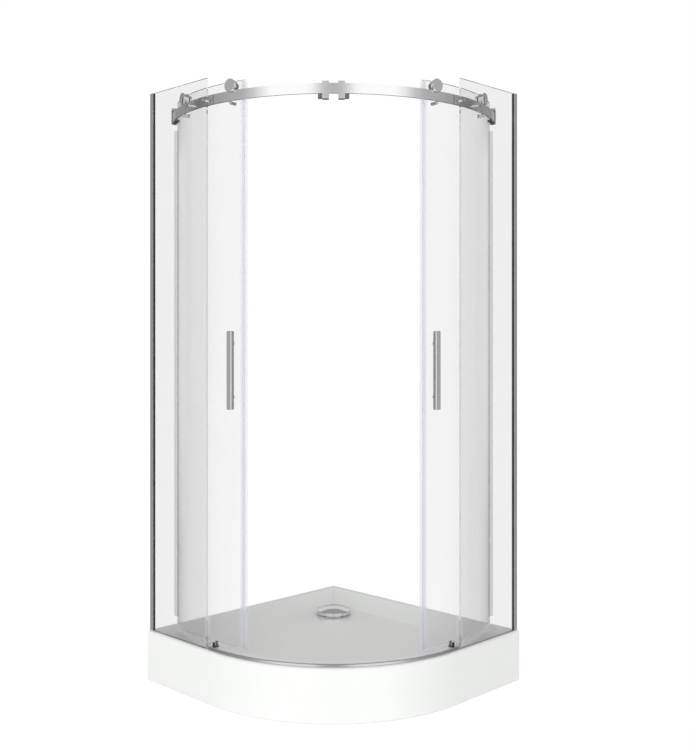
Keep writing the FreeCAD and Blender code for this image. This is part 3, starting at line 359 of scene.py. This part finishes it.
steep = add(tree, "MapRange", {"interpolation_type": "SMOOTHSTEP"}, Value=height, **CEILING_STARTS)
tent = add(tree, "Mix", COLOURS, Factor=steep.outputs[0], _6=ring.outputs[2], _7=CEILING)
below = add(tree, "MapRange", Value=height, **FLOOR_STARTS)
behind = add(tree, "MapRange", Value=swing, **BACK_STARTS)
far_share = add(tree, "Math", {"operation": "MULTIPLY"}, _0=below.outputs[0], _1=behind.outputs[0])
far_floor = add(tree, "ValToRGB", Fac=swing, stops=[(0.03, 0.05), (0.08, 0.30)])
floored = add(tree, "Mix", COLOURS, Factor=far_share.outputs[0], _6=tent.outputs[2],
              _7=far_floor.outputs["Color"])
raised = add(tree, "MapRange", Value=height, **WINGS_START)
aside = add(tree, "ValToRGB", Fac=heading, stops=[(0.04, 0.0), (0.085, 1.0), (0.20, 1.0), (0.26, 0.0)])
wing_share = add(tree, "Math", {"operation": "MULTIPLY"}, _0=raised.outputs[0], _1=aside.outputs["Color"])
cards = add(tree, "Mix", COLOURS, Factor=wing_share.outputs[0], _6=floored.outputs[2], _7=WINGS)
print("ceiling", CEILING[0], "and wings", WINGS[0], "as grey tones")

# %% [markdown]
# ## Which ray sees what
# The world can show each kind of ray another picture. Light Path counts a ray's bounces: after a matt
# surface it finds the sky, after a shiny one the flags and cards, and straight from the camera or through
# glass plain white. A white backdrop could be lit by lamps instead, but they would light the object too.

# %% World: which ray sees what
WHITE = (1.0, 1.0, 1.0, 1.0)
SKY_STRENGTH = 1.84
ANY_BOUNCE = 0.5  # a count above this is one bounce or more


def bounced(tree, kind):
    """1 for a ray that has left a matt (Diffuse) or shiny (Glossy) surface, and 0 for others."""
    count = add(tree, "LightPath").outputs[kind + " Depth"]
    return add(tree, "Math", {"operation": "GREATER_THAN"}, _0=count, _1=ANY_BOUNCE).outputs[0]


white = add(tree, "Background", Color=WHITE, Strength=1.0)
mirrored = add(tree, "Background", Color=cards.outputs[2], Strength=1.0)
lighting = add(tree, "Background", Color=sky.outputs["Color"], Strength=SKY_STRENGTH)
plain = add(tree, "MixShader", _0=bounced(tree, "Glossy"), _1=white.outputs[0], _2=mirrored.outputs[0])
whole = add(tree, "MixShader", _0=bounced(tree, "Diffuse"), _1=plain.outputs[0], _2=lighting.outputs[0])
add(tree, "OutputWorld", Surface=whole.outputs[0])
print("world nodes:", len(tree.nodes))

# %% [markdown]
# ## The floor
# The floor of the tent is white paper. It could be lit up to white by stronger lamps, but those would burn
# out the tray. So the paper glows by itself for the camera, and keeps a small matt share that takes the
# tray's shadow. That share is darker than white, so the glow is a little over 1. Chrome looks past the
# floor at the flags.

# %% Floor
FLOOR_HALF = 12.0
SHADOW_SHARE = 0.12
GLOW = 1.06

sheet = bmesh.new()
bmesh.ops.create_grid(sheet, x_segments=1, y_segments=1, size=FLOOR_HALF)
floor_mesh = bpy.data.meshes.new("floor")
sheet.to_mesh(floor_mesh)
sheet.free()
floor = bpy.data.objects.new("floor", floor_mesh)
bpy.context.collection.objects.link(floor)
print("floor:", 2 * FLOOR_HALF, "m square")

# %% Paper
paper, tree, shader = new_finish("white_paper")
feed(shader, Base_Color=linear("F6F6F6"), Roughness=0.9, Specular_IOR_Level=0.1)
glow = add(tree, "Emission", Color=WHITE, Strength=GLOW)
shaded = add(tree, "MixShader", _0=SHADOW_SHARE, _1=glow.outputs[0], _2=shader.outputs[0])
gone = add(tree, "BsdfTransparent")
plain = add(tree, "MixShader", _0=bounced(tree, "Glossy"), _1=shaded.outputs[0], _2=gone.outputs[0])
whole = add(tree, "MixShader", _0=bounced(tree, "Diffuse"), _1=plain.outputs[0], _2=shader.outputs[0])
feed(tree.nodes["Material Output"], Surface=whole.outputs[0])
floor_mesh.materials.append(paper)
print("paper: glow", GLOW, "with a matt share of", SHADOW_SHARE)

# %% [markdown]
# ## Lamps
# Two soft boxes help the sky: a large one in front gives the apron its tone, and a small one overhead
# lifts the basin. Points of light could do it too, but they draw hard shadows through the glass. The boxes
# stay out of the mirrors, where the cards already stand.

# %% Soft boxes
def soft_box(name, place, target, side, watts):
    light = bpy.data.lights.new(name, "AREA")
    light.shape = "RECTANGLE"
    light.size = light.size_y = side
    light.energy = watts
    lamp = bpy.data.objects.new(name, light)
    aim = Vector(target) - Vector(place)
    lamp.matrix_world = Matrix.Translation(place) @ aim.to_track_quat("-Z", "Y").to_matrix().to_4x4()
    bpy.context.collection.objects.link(lamp)
    lamp.visible_camera = False
    lamp.visible_glossy = False
    lamp.visible_transmission = False
    print("lamp:", name, watts, "W")


soft_box("front", place=(3.4, -6.1, 2.0), target=(0.1, -0.1, 0.7), side=4.0, watts=120)
soft_box("overhead", place=(-0.1, 0.1, 3.6), target=(-0.1, 0.1, 0.1), side=1.6, watts=4)

# %% [markdown]
# ## The view
# The picture looks along the diagonal of the tray, level, from about chest height. The camera could be
# tilted to centre the object, but then upright lines would lean. So it stays level, and the lens is shifted
# instead, as on a view camera.

# %% Camera
IMAGE = (694, 753)
FOCAL_PX = 1020.9
AXIS_PX = (333.6, 340.1)
SENSOR_MM = 36.0
EYE = (2.475, -2.475, 1.165)
LOOK = (-1, 1, 0)

lens = bpy.data.cameras.new("camera")
lens.sensor_fit = "HORIZONTAL"
lens.sensor_width = SENSOR_MM
lens.lens = SENSOR_MM * FOCAL_PX / IMAGE[0]
lens.shift_x = (IMAGE[0] / 2 - AXIS_PX[0]) / IMAGE[0]
lens.shift_y = (AXIS_PX[1] - IMAGE[1] / 2) / IMAGE[0]
camera = bpy.data.objects.new("camera", lens)
camera.location = EYE
camera.rotation_euler = Vector(LOOK).to_track_quat("-Z", "Y").to_euler()
bpy.context.collection.objects.link(camera)
bpy.context.scene.camera = camera
bpy.context.scene.view_settings.view_transform = "Standard"
print("lens:", round(lens.lens, 1), "mm, shift", round(lens.shift_x, 3), round(lens.shift_y, 3))
